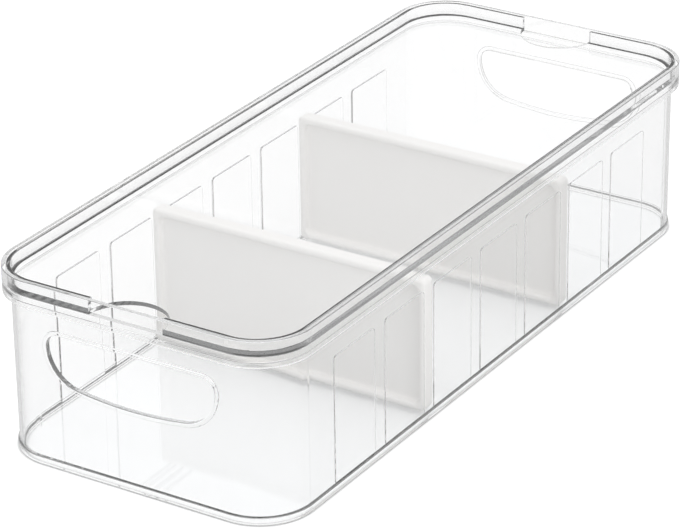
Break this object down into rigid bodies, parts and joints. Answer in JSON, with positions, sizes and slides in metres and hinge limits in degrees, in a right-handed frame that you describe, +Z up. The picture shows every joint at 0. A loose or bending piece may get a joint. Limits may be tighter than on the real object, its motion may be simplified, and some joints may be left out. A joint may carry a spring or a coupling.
{
  "type": "fridge organizer bin",
  "caption": "Long clear rectangular storage bin with a drop-in clear lid, D-shaped hand holes in the end walls and lift-out off-white dividers standing in slots.",
  "frame": {"origin": "on the table under the middle of the bin", "axes": "+X across the bin, +Y along it away from the near end, +Z up"},
  "size_m": [0.16, 0.39, 0.092],
  "materials": {
    "clear_tub": "polished clear plastic",
    "clear_lid": "polished clear plastic",
    "divider_white": "fine satin moulded plastic"
  },
  "bodies": {
    "tub": {"tub": "clear_tub"},
    "lid": {"lid": "clear_lid"},
    "front_divider": {"front_divider": "divider_white"},
    "rear_divider": {"rear_divider": "divider_white"}
  },
  "joints": [
    {"name": "lid_lift", "type": "slide", "parent": "tub", "child": "lid", "axis": [0, 0, 1], "range_m": [0, 0.2]},
    {"name": "front_divider_lift", "type": "slide", "parent": "tub", "child": "front_divider", "axis": [0, 0, 1], "range_m": [0, 0.1]},
    {"name": "rear_divider_lift", "type": "slide", "parent": "tub", "child": "rear_divider", "axis": [0, 0, 1], "range_m": [0, 0.1]}
  ],
  "couplings": [
    {"joint": "front_divider_lift", "follows": "lid_lift", "ratio": 0.5},
    {"joint": "rear_divider_lift", "follows": "lid_lift", "ratio": 0.5}
  ]
}
